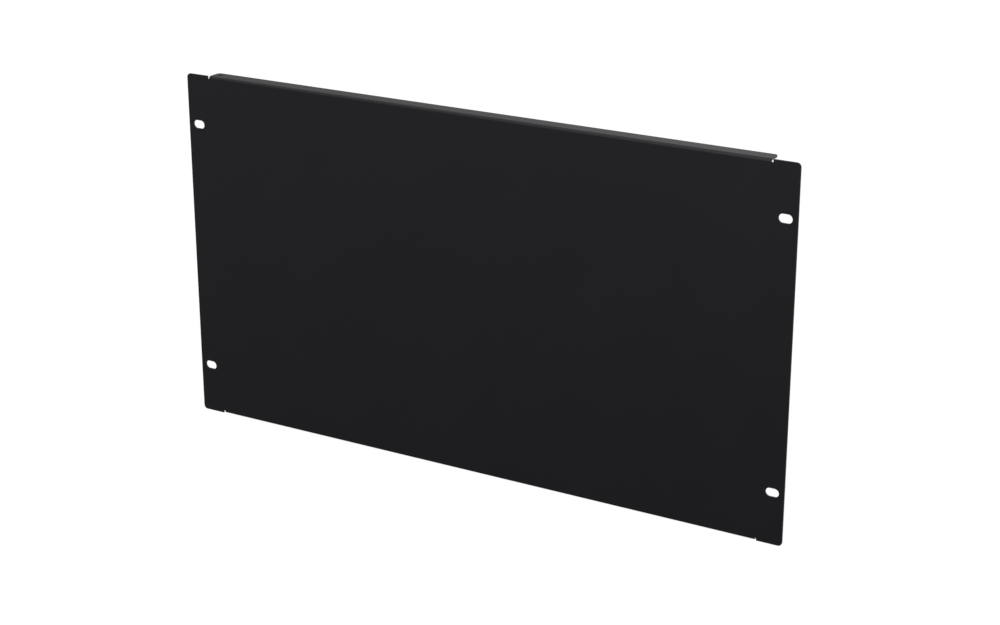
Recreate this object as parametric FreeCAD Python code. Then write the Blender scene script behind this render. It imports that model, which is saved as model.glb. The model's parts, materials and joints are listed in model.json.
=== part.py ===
"""Blanking panel for a 19-inch equipment rack.

The panel is one piece of sheet steel. Its flat front covers six unused units of the rack,
an ear at each end has two slots for the rack's screws, and a flange is folded back along
the top and the bottom edge to stiffen the front. A narrow relief notch parts each end of
each fold from the ear beside it, so that the ears stay flat.

Millimetres. X runs to the right as seen from the front, Y to the rear and Z up.
The origin is the centre of the slot pattern, on the sheet's rear face, where the ears
seat on the rack's rails.
"""
import FreeCAD, Part
import os

# Height: a whole number of rack units, less the gap left between neighbouring panels.
RACK_UNITS = 6
RACK_UNIT_HEIGHT = 44.45
NEIGHBOUR_GAP = 0.8

# The sheet and its folds.
PANEL_WIDTH = 482.6
SHEET_THICKNESS = 1.2
BEND_INNER_RADIUS = 0.8
FLANGE_DEPTH = 12.0             # the front face to a flange's rear edge
FLANGE_CORNER_RADIUS = 3.0

# The flat ears, outside the relief notches.
EAR_WIDTH = 18.7
EAR_CORNER_RADIUS = 3.0
NOTCH_WIDTH = 1.35
NOTCH_CORNER_RADIUS = 0.15

# The slots for the rack's screws.
SLOT_LENGTH = 9.7
SLOT_WIDTH = 6.2
SLOT_FROM_END = 8.75            # a slot's centre to the panel's end
SLOT_FROM_EDGE = 37.7           # a slot's centre to the panel's top or bottom

# The hole that the panel hangs by while it is coated, near the left end of the top flange.
HANGING_HOLE_DIAMETER = 3.2
HANGING_HOLE_FROM_END = 5.5     # its centre to the flange's end
HANGING_HOLE_FROM_REAR = 5.4    # its centre to the flange's rear edge

# The faces and centres that those sizes give.
REAR_FACE = 0.0
FRONT_FACE = REAR_FACE - SHEET_THICKNESS
FLANGE_REAR = FRONT_FACE + FLANGE_DEPTH
PANEL_END = PANEL_WIDTH / 2
PANEL_TOP = (RACK_UNITS * RACK_UNIT_HEIGHT - NEIGHBOUR_GAP) / 2
BEND_OUTER_RADIUS = BEND_INNER_RADIUS + SHEET_THICKNESS
BEND_LINE = PANEL_TOP - BEND_OUTER_RADIUS
EAR_INNER_SIDE = PANEL_END - EAR_WIDTH
FOLD_END = EAR_INNER_SIDE - NOTCH_WIDTH

SIDES = (-1, 1)
TOLERANCE = 1e-6
ALONG_X = FreeCAD.Vector(1, 0, 0)
ALONG_Y = FreeCAD.Vector(0, 1, 0)
ALONG_Z = FreeCAD.Vector(0, 0, 1)


def edges_along(shape, direction, is_wanted):
    """The edges of a shape that run along a direction and whose middle is wanted."""
    found = []
    for edge in shape.Edges:
        start, end = edge.Vertexes[0].Point, edge.Vertexes[-1].Point
        runs_along = (end - start).cross(direction).Length < TOLERANCE
        if runs_along and is_wanted(edge.CenterOfMass):
            found.append(edge)
    return found


def folded_channel():
    """The front between the notches with both flanges: one section, run along X."""
    inner_top = PANEL_TOP - SHEET_THICKNESS
    section = [
        (FLANGE_REAR, PANEL_TOP),
        (FRONT_FACE, PANEL_TOP),
        (FRONT_FACE, -PANEL_TOP),
        (FLANGE_REAR, -PANEL_TOP),
        (FLANGE_REAR, -inner_top),
        (REAR_FACE, -inner_top),
        (REAR_FACE, inner_top),
        (FLANGE_REAR, inner_top),
    ]
    points = [FreeCAD.Vector(-FOLD_END, y, z) for y, z in section]
    outline = Part.makePolygon(points + points[:1])
    channel = Part.Face(outline).extrude(ALONG_X * (2 * FOLD_END))

    outer_bends = edges_along(channel, ALONG_X, lambda at: abs(at.y - FRONT_FACE) < TOLERANCE)
    channel = channel.makeFillet(BEND_OUTER_RADIUS, outer_bends)
    inner_bends = edges_along(channel, ALONG_X, lambda at: abs(at.y - REAR_FACE) < TOLERANCE)
    channel = channel.makeFillet(BEND_INNER_RADIUS, inner_bends)
    rear_corners = edges_along(channel, ALONG_Z, lambda at: abs(at.y - FLANGE_REAR) < TOLERANCE)
    return channel.makeFillet(FLANGE_CORNER_RADIUS, rear_corners)


def relief_notch(end, upper):
    """The cutter of one notch. Its root's rounded corners end on the bend's front line."""
    near, far = sorted((end * FOLD_END, end * EAR_INNER_SIDE))
    root = BEND_LINE - NOTCH_CORNER_RADIUS
    beyond_the_edge = PANEL_TOP + NOTCH_WIDTH
    low, high = sorted((upper * root, upper * beyond_the_edge))
    corner = FreeCAD.Vector(near, FRONT_FACE - SHEET_THICKNESS, low)
    cutter = Part.makeBox(far - near, 3 * SHEET_THICKNESS, high - low, corner)
    root_corners = edges_along(cutter, ALONG_Y, lambda at: abs(at.z - upper * root) < TOLERANCE)
    return cutter.makeFillet(NOTCH_CORNER_RADIUS, root_corners)


def screw_slot(end, upper):
    """The cutter of one slot, which lies along X so that the screws can shift sideways."""
    middle = FreeCAD.Vector(
        end * (PANEL_END - SLOT_FROM_END),
        FRONT_FACE - SHEET_THICKNESS,
        upper * (PANEL_TOP - SLOT_FROM_EDGE),
    )
    half_straight = ALONG_X * ((SLOT_LENGTH - SLOT_WIDTH) / 2)
    left, right = middle - half_straight, middle + half_straight
    onward, aside = ALONG_X * (SLOT_WIDTH / 2), ALONG_Z * (SLOT_WIDTH / 2)
    outline = [
        Part.makeLine(left + aside, right + aside),
        Part.Arc(right + aside, right + onward, right - aside).toShape(),
        Part.makeLine(right - aside, left - aside),
        Part.Arc(left - aside, left - onward, left + aside).toShape(),
    ]
    return Part.Face(Part.Wire(outline)).extrude(ALONG_Y * (3 * SHEET_THICKNESS))


def ear(end):
    """One flat ear with its rounded corners, notches and slots, up to the folds' ends."""
    near, far = sorted((end * FOLD_END, end * PANEL_END))
    corner = FreeCAD.Vector(near, FRONT_FACE, -PANEL_TOP)
    plate = Part.makeBox(far - near, SHEET_THICKNESS, 2 * PANEL_TOP, corner)
    outer_corners = edges_along(plate, ALONG_Y, lambda at: abs(at.x) > EAR_INNER_SIDE)
    plate = plate.makeFillet(EAR_CORNER_RADIUS, outer_corners)
    for upper in SIDES:
        plate = plate.cut(relief_notch(end, upper))
        plate = plate.cut(screw_slot(end, upper))
    return plate


def hanging_hole():
    """The cutter of the small round hole through the top flange."""
    middle = FreeCAD.Vector(
        HANGING_HOLE_FROM_END - FOLD_END,
        FLANGE_REAR - HANGING_HOLE_FROM_REAR,
        PANEL_TOP - 2 * SHEET_THICKNESS,
    )
    return Part.makeCylinder(HANGING_HOLE_DIAMETER / 2, 3 * SHEET_THICKNESS, middle, ALONG_Z)


def blanking_panel():
    """The whole folded sheet, as one solid."""
    sheet = folded_channel()
    for end in SIDES:
        sheet = sheet.fuse(ear(end))
    sheet = sheet.cut(hanging_hole())
    return sheet.removeSplitter()


os.makedirs("parts", exist_ok=True)
blanking_panel().exportStep("parts/blanking_panel.step")
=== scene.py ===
import json
import math

import bpy
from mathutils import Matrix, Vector


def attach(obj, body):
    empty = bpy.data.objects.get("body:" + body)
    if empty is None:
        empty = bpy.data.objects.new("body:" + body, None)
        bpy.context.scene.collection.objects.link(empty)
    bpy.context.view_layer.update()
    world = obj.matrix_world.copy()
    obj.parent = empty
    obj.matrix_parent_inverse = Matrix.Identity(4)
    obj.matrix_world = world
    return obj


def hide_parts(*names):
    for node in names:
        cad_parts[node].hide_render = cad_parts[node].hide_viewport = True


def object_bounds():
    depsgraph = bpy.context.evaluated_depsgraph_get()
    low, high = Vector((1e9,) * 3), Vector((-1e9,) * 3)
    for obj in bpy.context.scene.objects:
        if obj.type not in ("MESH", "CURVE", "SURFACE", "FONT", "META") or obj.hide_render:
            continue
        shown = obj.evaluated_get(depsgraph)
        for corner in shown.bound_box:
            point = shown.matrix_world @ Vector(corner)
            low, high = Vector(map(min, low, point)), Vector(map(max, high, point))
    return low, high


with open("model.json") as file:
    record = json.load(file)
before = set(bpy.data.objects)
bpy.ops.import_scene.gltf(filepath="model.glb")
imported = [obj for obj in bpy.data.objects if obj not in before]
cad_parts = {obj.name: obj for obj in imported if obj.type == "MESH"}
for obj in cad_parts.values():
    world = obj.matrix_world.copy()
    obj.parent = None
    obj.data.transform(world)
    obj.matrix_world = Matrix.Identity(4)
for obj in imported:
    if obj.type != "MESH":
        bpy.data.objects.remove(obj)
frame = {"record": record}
cad_low, cad_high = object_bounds()


# ------------------------------------------------------------------------------------------
# The panel: one blank of 1.2 mm sheet steel, punched with its slots, relief notches and
# hanging hole, and folded back along the top and the bottom edge over a small radius. It is
# then hung up by the small hole and coated all over with black powder, which is baked on.
# ------------------------------------------------------------------------------------------
front_face = cad_low.y
panel_end = cad_high.x
panel_top = cad_high.z
sheet_thickness = 0.0012
bend_inner_radius = 0.0008
bend_outer_radius = bend_inner_radius + sheet_thickness
bend_line = panel_top - bend_outer_radius
neutral_share = 0.4
flange_flat = (cad_high.y - cad_low.y) - bend_outer_radius
flange_corner_radius = 0.0030
ear_width = 0.0187
ear_corner_radius = 0.0030
ear_inner_side = panel_end - ear_width
notch_width = 0.00135
notch_corner_radius = 0.00015
fold_end = ear_inner_side - notch_width
hanging_hole_diameter = 0.0032
hanging_hole_from_end = 0.0055
hanging_hole_from_rear = 0.0054
coated_edge_radius = 0.0001
weld_distance = 0.000002
fold_margin = 0.00001
rack_mounts = {mount["name"]: mount for mount in frame["record"]["mounts"]}
slot_pattern = {size: value / 1000 for size, value in rack_mounts["rack_slots"]["dims"].items()}

powder_black = (0.0077, 0.0076, 0.0096)
coat_roughness = (0.41, 0.49)
coat_specular = 0.3
cloud_size = 0.060
cloud_detail = 3.0
cloud_shade = (0.94, 1.06)
peel_size = 0.0016
peel_depth = 0.000010
peel_detail = 1.0
grain_size = 0.00035
grain_depth = 0.000004
grain_detail = 2.0


def add_node(tree, kind, feeds=(), **settings):
    """A new node, with its properties set and its inputs fed from sockets or plain values."""
    node = tree.nodes.new(kind)
    for setting, value in settings.items():
        setattr(node, setting, value)
    for socket, value in dict(feeds).items():
        if isinstance(value, bpy.types.NodeSocket):
            tree.links.new(value, node.inputs[socket])
        else:
            node.inputs[socket].default_value = value
    return node


def sheet_outline():
    """The front with its ears and notches, as (x, z, corner radius) once round the sheet."""
    notch_root = bend_line - notch_corner_radius
    quarter = [
        (fold_end, bend_line, 0),
        (fold_end, notch_root, notch_corner_radius),
        (ear_inner_side, notch_root, notch_corner_radius),
        (ear_inner_side, panel_top, 0),
        (panel_end, panel_top, ear_corner_radius),
    ]
    outline = []
    for right, upper in ((1, 1), (1, -1), (-1, -1), (-1, 1)):
        corners = [(right * x, upper * z, radius) for x, z, radius in quarter]
        outline += corners if right == upper else corners[::-1]
    return outline


def outlined_blank(name, outline):
    """A closed line through the outline's corners, which keep their radii as an attribute."""
    mesh = bpy.data.meshes.new(name)
    count = len(outline)
    edges = [(index, (index + 1) % count) for index in range(count)]
    mesh.from_pydata([(x, z, 0) for x, z, _ in outline], edges, [])
    radii = mesh.attributes.new("corner_radius", "FLOAT", "POINT")
    radii.data.foreach_set("value", [radius for _, _, radius in outline])
    blank = bpy.data.objects.new(name, mesh)
    bpy.context.scene.collection.objects.link(blank)
    return blank


def press_tools():
    """The geometry nodes that punch the blank, thicken it and fold it."""
    tree = bpy.data.node_groups.new("punched_and_folded_sheet", "GeometryNodeTree")
    tree.interface.new_socket("Outline", in_out="INPUT", socket_type="NodeSocketGeometry")
    lengths = (
        "Sheet Thickness", "Bend Radius", "Bend Line", "Fold End", "Flange Flat",
        "Flange Corner", "Slot Length", "Slot Width", "Slot Spacing X", "Slot Spacing Z",
        "Hole Diameter", "Hole From End", "Hole From Rear",
    )
    for name in lengths:
        tree.interface.new_socket(name, in_out="INPUT", socket_type="NodeSocketFloat")
    for name in ("Bend Steps", "Corner Steps"):
        tree.interface.new_socket(name, in_out="INPUT", socket_type="NodeSocketInt")
    tree.interface.new_socket("Coat", in_out="INPUT", socket_type="NodeSocketMaterial")
    tree.interface.new_socket("Panel", in_out="OUTPUT", socket_type="NodeSocketGeometry")
    given = tree.nodes.new("NodeGroupInput").outputs

    def maths(operation, first, second=0.0, clamped=False):
        feeds = {0: first, 1: second}
        node = add_node(tree, "ShaderNodeMath", feeds, operation=operation, use_clamp=clamped)
        return node.outputs["Value"]

    def vector(x=0.0, y=0.0, z=0.0):
        return add_node(tree, "ShaderNodeCombineXYZ", {"X": x, "Y": y, "Z": z}).outputs["Vector"]

    def joined(*geometries):
        join = tree.nodes.new("GeometryNodeJoinGeometry")
        for geometry in geometries:
            tree.links.new(geometry, join.inputs["Geometry"])
        return join.outputs["Geometry"]

    def moved(geometry, shift=(0, 0, 0), turn=(0, 0, 0)):
        feeds = {"Geometry": geometry, "Translation": shift, "Rotation": turn}
        return add_node(tree, "GeometryNodeTransform", feeds).outputs["Geometry"]

    def rounded(curve, radius):
        feeds = {"Curve": curve, "Count": given["Corner Steps"], "Radius": radius}
        feeds["Limit Radius"] = True
        node = add_node(tree, "GeometryNodeFilletCurve", feeds, mode="POLY")
        return node.outputs["Curve"]

    def rectangle(width, height):
        feeds = {"Width": width, "Height": height}
        return add_node(tree, "GeometryNodeCurvePrimitiveQuadrilateral", feeds).outputs["Curve"]

    def grid(width, height, columns, rows):
        feeds = {"Size X": width, "Size Y": height, "Vertices X": columns, "Vertices Y": rows}
        return add_node(tree, "GeometryNodeMeshGrid", feeds).outputs["Mesh"]

    def filled(curve):
        fill = add_node(tree, "GeometryNodeFillCurve", {"Curve": curve}, mode="NGONS")
        return fill.outputs["Mesh"]

    def welded(mesh):
        feeds = {"Geometry": mesh, "Distance": weld_distance}
        return add_node(tree, "GeometryNodeMergeByDistance", feeds).outputs["Geometry"]

    # The front with its ears, notches and four slots, laid flat.
    line = add_node(tree, "GeometryNodeMeshToCurve", {"Mesh": given["Outline"]})
    corner_radius = add_node(
        tree, "GeometryNodeInputNamedAttribute", {"Name": "corner_radius"}, data_type="FLOAT"
    )
    outline = rounded(line.outputs["Curve"], corner_radius.outputs["Attribute"])
    slot = rectangle(given["Slot Length"], given["Slot Width"])
    slot = rounded(slot, maths("MULTIPLY", given["Slot Width"], 0.5))
    slot_centres = grid(given["Slot Spacing X"], given["Slot Spacing Z"], 2, 2)
    slots = add_node(
        tree, "GeometryNodeInstanceOnPoints", {"Points": slot_centres, "Instance": slot}
    )
    slots = add_node(tree, "GeometryNodeRealizeInstances", {"Geometry": slots.outputs["Instances"]})
    front = filled(joined(outline, slots.outputs["Geometry"]))

    # One bend and one flange, still flat, beyond the front's upper bend line. A sheet's
    # length through a bend is that of its neutral line, a little inside its middle.
    fold_width = maths("MULTIPLY", given["Fold End"], 2.0)
    neutral_depth = maths("MULTIPLY", given["Sheet Thickness"], neutral_share)
    neutral_radius = maths("ADD", given["Bend Radius"], neutral_depth)
    bend_length = maths("MULTIPLY", neutral_radius, math.pi / 2)
    bend = grid(fold_width, bend_length, 2, maths("ADD", given["Bend Steps"], 1.0))
    bend_middle = maths("ADD", given["Bend Line"], maths("MULTIPLY", bend_length, 0.5))
    bend = moved(bend, vector(y=bend_middle))
    flange_start = maths("ADD", given["Bend Line"], bend_length)
    flange_rear = maths("ADD", flange_start, given["Flange Flat"])
    flange_middle = maths("MULTIPLY", maths("ADD", flange_start, flange_rear), 0.5)
    position = add_node(tree, "GeometryNodeInputPosition").outputs["Position"]
    at = add_node(tree, "ShaderNodeSeparateXYZ", {"Vector": position}).outputs
    is_rear_corner = maths("GREATER_THAN", at["Y"], 0.0)
    flange = rectangle(fold_width, given["Flange Flat"])
    flange = rounded(flange, maths("MULTIPLY", is_rear_corner, given["Flange Corner"]))
    flange = moved(flange, vector(y=flange_middle))

    # The upper flange alone has the hanging hole, near its left end.
    hole = add_node(
        tree,
        "GeometryNodeCurvePrimitiveCircle",
        {
            "Resolution": maths("MULTIPLY", given["Corner Steps"], 4.0),
            "Radius": maths("MULTIPLY", given["Hole Diameter"], 0.5),
        },
    )
    hole_x = maths("SUBTRACT", given["Hole From End"], given["Fold End"])
    hole_y = maths("SUBTRACT", flange_rear, given["Hole From Rear"])
    hole = moved(hole.outputs["Curve"], vector(x=hole_x, y=hole_y))
    upper_fold = joined(filled(joined(flange, hole)), bend)
    lower_fold = moved(joined(filled(flange), bend), turn=(0, 0, math.pi))

    # The whole blank, thickened from its rear face to its front face and stood upright.
    blank = welded(joined(front, upper_fold, lower_fold))
    raised = add_node(
        tree,
        "GeometryNodeExtrudeMesh",
        {"Mesh": blank, "Offset Scale": given["Sheet Thickness"], "Individual": False},
    )
    rear = add_node(tree, "GeometryNodeFlipFaces", {"Mesh": blank})
    slab = welded(joined(raised.outputs["Mesh"], rear.outputs["Mesh"]))
    slab = moved(slab, turn=(math.pi / 2, 0, 0))

    # The folds. A point past the bend line turns about the bend's centre, and then runs on
    # straight to the rear. The ears, outside the notches, stay flat.
    past = maths("SUBTRACT", maths("ABSOLUTE", at["Z"]), given["Bend Line"])
    turned_share = maths("DIVIDE", past, bend_length, clamped=True)
    turn = maths("MULTIPLY", turned_share, math.pi / 2)
    run_on = maths("MAXIMUM", maths("SUBTRACT", past, bend_length), 0.0)
    radius = maths("SUBTRACT", given["Bend Radius"], at["Y"])
    from_centre = maths("SUBTRACT", run_on, maths("MULTIPLY", radius, maths("COSINE", turn)))
    folded_y = maths("ADD", given["Bend Radius"], from_centre)
    risen = maths("MULTIPLY", radius, maths("SINE", turn))
    folded_height = maths("ADD", given["Bend Line"], risen)
    folded_z = maths("MULTIPLY", folded_height, maths("SIGN", at["Z"]))
    is_past = maths("GREATER_THAN", past, 0.0)
    fold_reach = maths("ADD", given["Fold End"], fold_margin)
    is_in_fold = maths("LESS_THAN", maths("ABSOLUTE", at["X"]), fold_reach)
    folded = add_node(
        tree,
        "GeometryNodeSetPosition",
        {
            "Geometry": slab,
            "Selection": maths("MULTIPLY", is_past, is_in_fold),
            "Position": vector(at["X"], folded_y, folded_z),
        },
    )
    smooth = add_node(
        tree, "GeometryNodeSetShadeSmooth", {"Geometry": folded.outputs["Geometry"]}
    )
    real = add_node(
        tree, "GeometryNodeRealizeInstances", {"Geometry": smooth.outputs["Geometry"]}
    )
    coated = add_node(
        tree,
        "GeometryNodeSetMaterial",
        {"Geometry": real.outputs["Geometry"], "Material": given["Coat"]},
    )
    add_node(tree, "NodeGroupOutput", {"Panel": coated.outputs["Geometry"]})
    return tree


def powder_coat():
    """Satin black powder: a faint orange peel where it flowed, and a much finer grain."""
    material = bpy.data.materials.new("satin_black_powder")
    material.use_nodes = True
    tree = material.node_tree
    tree.nodes.clear()
    place = add_node(tree, "ShaderNodeTexCoord").outputs["Object"]

    def mottle(size, detail):
        feeds = {"Vector": place, "Scale": 1 / size, "Detail": detail}
        return add_node(tree, "ShaderNodeTexNoise", feeds).outputs["Fac"]

    def spread(value, least, most):
        feeds = {"Value": value, "To Min": least, "To Max": most}
        return add_node(tree, "ShaderNodeMapRange", feeds).outputs["Result"]

    cloud = mottle(cloud_size, cloud_detail)
    shade = add_node(
        tree,
        "ShaderNodeVectorMath",
        {0: powder_black, "Scale": spread(cloud, *cloud_shade)},
        operation="SCALE",
    )
    peel = add_node(
        tree,
        "ShaderNodeBump",
        {"Height": mottle(peel_size, peel_detail), "Distance": peel_depth},
    )
    grain = add_node(
        tree,
        "ShaderNodeBump",
        {
            "Height": mottle(grain_size, grain_detail),
            "Distance": grain_depth,
            "Normal": peel.outputs["Normal"],
        },
    )
    coat = add_node(
        tree,
        "ShaderNodeBsdfPrincipled",
        {
            "Base Color": shade.outputs["Vector"],
            "Roughness": spread(cloud, *coat_roughness),
            "Specular IOR Level": coat_specular,
            "Normal": grain.outputs["Normal"],
        },
    )
    add_node(tree, "ShaderNodeOutputMaterial", {"Surface": coat.outputs["BSDF"]})
    return material


def plain_mesh(piece):
    """Turns what the piece's modifiers make into its own mesh, and removes them."""
    seen = piece.evaluated_get(bpy.context.evaluated_depsgraph_get())
    made = bpy.data.meshes.new_from_object(seen)
    piece.modifiers.clear()
    piece.data = made
    made.name = piece.name


panel = outlined_blank("folded_panel", sheet_outline())
press = panel.modifiers.new("punch and fold", "NODES")
press.node_group = press_tools()
press_settings = {
    "Sheet Thickness": sheet_thickness,
    "Bend Radius": bend_inner_radius,
    "Bend Line": bend_line,
    "Fold End": fold_end,
    "Flange Flat": flange_flat,
    "Flange Corner": flange_corner_radius,
    "Slot Length": slot_pattern["slot_length_mm"],
    "Slot Width": 2 * slot_pattern["hole_r_mm"],
    "Slot Spacing X": slot_pattern["spacing_x_mm"],
    "Slot Spacing Z": slot_pattern["spacing_y_mm"],
    "Hole Diameter": hanging_hole_diameter,
    "Hole From End": hanging_hole_from_end,
    "Hole From Rear": hanging_hole_from_rear,
    "Bend Steps": 14,
    "Corner Steps": 10,
    "Coat": powder_coat(),
}
for socket in press.node_group.interface.items_tree:
    if socket.name in press_settings:
        press[socket.identifier] = press_settings[socket.name]
edges = panel.modifiers.new("coated edges", "BEVEL")
edges.width = coated_edge_radius
edges.segments = 3
edges.limit_method = "ANGLE"
edges.angle_limit = math.radians(40)
edges.use_clamp_overlap = False
flats = panel.modifiers.new("flat faces stay flat", "WEIGHTED_NORMAL")
flats.weight = 100
plain_mesh(panel)
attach(panel, "root")
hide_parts("blanking_panel")


# ------------------------------------------------------------------------------------------
# The studio: a pale floor a hair below the panel, and a white backdrop behind it that shows
# in its gloss. Two soft boxes and a bright ceiling light it. The room in front is dim.
# ------------------------------------------------------------------------------------------
floor_reach = 12.0
floor_tone = 0.2
floor_glow = 0.835
floor_gap = 0.0001
floor_height = cad_low.z - floor_gap
floor_mesh = bpy.data.meshes.new("floor")
floor_corners = [(-1, -1), (1, -1), (1, 1), (-1, 1)]
floor_points = [(x * floor_reach, y * floor_reach, floor_height) for x, y in floor_corners]
floor_mesh.from_pydata(floor_points, [], [range(4)])
floor = bpy.data.objects.new("floor", floor_mesh)
bpy.context.scene.collection.objects.link(floor)
floor.visible_diffuse = False
floor.visible_glossy = False
floor.visible_shadow = False
pale_floor = bpy.data.materials.new("pale_floor")
pale_floor.use_nodes = True
floor_tree = pale_floor.node_tree
floor_tree.nodes.clear()
lit_floor = add_node(floor_tree, "ShaderNodeBsdfDiffuse", {"Color": (floor_tone,) * 3 + (1,)})
white_floor = add_node(floor_tree, "ShaderNodeEmission", {"Strength": floor_glow})
floor_shader = add_node(
    floor_tree, "ShaderNodeAddShader", {0: lit_floor.outputs[0], 1: white_floor.outputs[0]}
)
add_node(floor_tree, "ShaderNodeOutputMaterial", {"Surface": floor_shader.outputs[0]})
floor_mesh.materials.append(pale_floor)

white = 1.0
backdrop_left_end = 0.29
light_behind = 0.5
light_in_front = 0.4
light_above = 0.95
towards_upper_left = (-0.35, 0.0, 0.9)
room_edge = (-0.3, 0.0)
rear_edge = (-0.2, 0.3)
ceiling_edge = (0.4, 0.8)
backdrop_left_edge = (-0.75, -0.25)
studio = bpy.data.worlds.new("studio")
bpy.context.scene.world = studio
studio.use_nodes = True
studio_tree = studio.node_tree
studio_tree.nodes.clear()
looking = add_node(studio_tree, "ShaderNodeTexCoord").outputs["Generated"]
towards = add_node(studio_tree, "ShaderNodeSeparateXYZ", {"Vector": looking}).outputs


def fade(along, edge, first, last):
    """A level that goes smoothly from first to last, as a direction's part crosses an edge."""
    start, end = edge
    feeds = {"Value": along, "From Min": start, "From Max": end, "To Min": first, "To Max": last}
    settings = {"interpolation_type": "SMOOTHSTEP"}
    return add_node(studio_tree, "ShaderNodeMapRange", feeds, **settings).outputs["Result"]


def blend(share, first, last):
    """A level between two others, by a share that is itself a level."""
    feeds = {"Factor": share, "A": first, "B": last}
    return add_node(studio_tree, "ShaderNodeMix", feeds, data_type="FLOAT").outputs["Result"]


def combined(operation, first, second):
    """The product of two levels, or the greater one, as the operation says."""
    feeds = {0: first, 1: second}
    return add_node(studio_tree, "ShaderNodeMath", feeds, operation=operation).outputs["Value"]


upper_left_part = add_node(
    studio_tree,
    "ShaderNodeVectorMath",
    {0: looking, 1: towards_upper_left},
    operation="DOT_PRODUCT",
)
room = fade(upper_left_part.outputs["Value"], room_edge, 0.0, light_in_front)
behind = fade(towards["Y"], rear_edge, 0.0, 1.0)
ceiling = fade(towards["Z"], ceiling_edge, 0.0, 1.0)
around = blend(ceiling, blend(behind, room, light_behind), light_above)
across = fade(towards["X"], backdrop_left_edge, backdrop_left_end, white)
backdrop = combined("MULTIPLY", behind, across)
backdrop = combined("MULTIPLY", backdrop, fade(towards["Z"], ceiling_edge, 1.0, 0.0))
ray = add_node(studio_tree, "ShaderNodeLightPath").outputs
gloss_or_glass = combined("MAXIMUM", ray["Is Glossy Ray"], ray["Is Transmission Ray"])
backdrop_in_gloss = blend(gloss_or_glass, around, combined("MAXIMUM", backdrop, around))
level = blend(ray["Is Camera Ray"], backdrop_in_gloss, white)
white_light = add_node(
    studio_tree, "ShaderNodeBackground", {"Color": (1, 1, 1, 1), "Strength": level}
)
add_node(studio_tree, "ShaderNodeOutputWorld", {"Surface": white_light.outputs["Background"]})


def soft_box(name, place, size, power):
    """A rectangular area lamp that faces the panel's middle."""
    light = bpy.data.lights.new(name, "AREA")
    light.shape = "RECTANGLE"
    light.size, light.size_y = size
    light.energy = power
    lamp = bpy.data.objects.new(name, light)
    lamp.location = place
    lamp.rotation_mode = "QUATERNION"
    lamp.rotation_quaternion = (-Vector(place)).to_track_quat("-Z", "Y")
    bpy.context.scene.collection.objects.link(lamp)


soft_box("soft_box_right", place=(1.2, -1.4, 1.2), size=(1.2, 1.2), power=29.0)
soft_box("soft_box_middle", place=(0.2, -1.8, 1.1), size=(1.6, 1.0), power=15.0)


# ------------------------------------------------------------------------------------------
# The camera: a long lens, from the right of the panel and a little above it. It looks at a
# point close to the panel's middle.
# ------------------------------------------------------------------------------------------
camera_azimuth = math.radians(30)
camera_elevation = math.radians(20)
camera_distance = 1.4516
camera_aim = Vector((0.0239, front_face, -0.0058))
towards_camera = Vector((
    math.sin(camera_azimuth) * math.cos(camera_elevation),
    -math.cos(camera_azimuth) * math.cos(camera_elevation),
    math.sin(camera_elevation),
))
lens = bpy.data.cameras.new("camera")
lens.lens = 75
lens.sensor_width = 36
lens.clip_end = 100
camera = bpy.data.objects.new("camera", lens)
camera.location = camera_aim + towards_camera * camera_distance
camera.rotation_mode = "QUATERNION"
camera.rotation_quaternion = (-towards_camera).to_track_quat("-Z", "Y")
bpy.context.scene.collection.objects.link(camera)
bpy.context.scene.camera = camera
bpy.context.scene.view_settings.view_transform = "Standard"
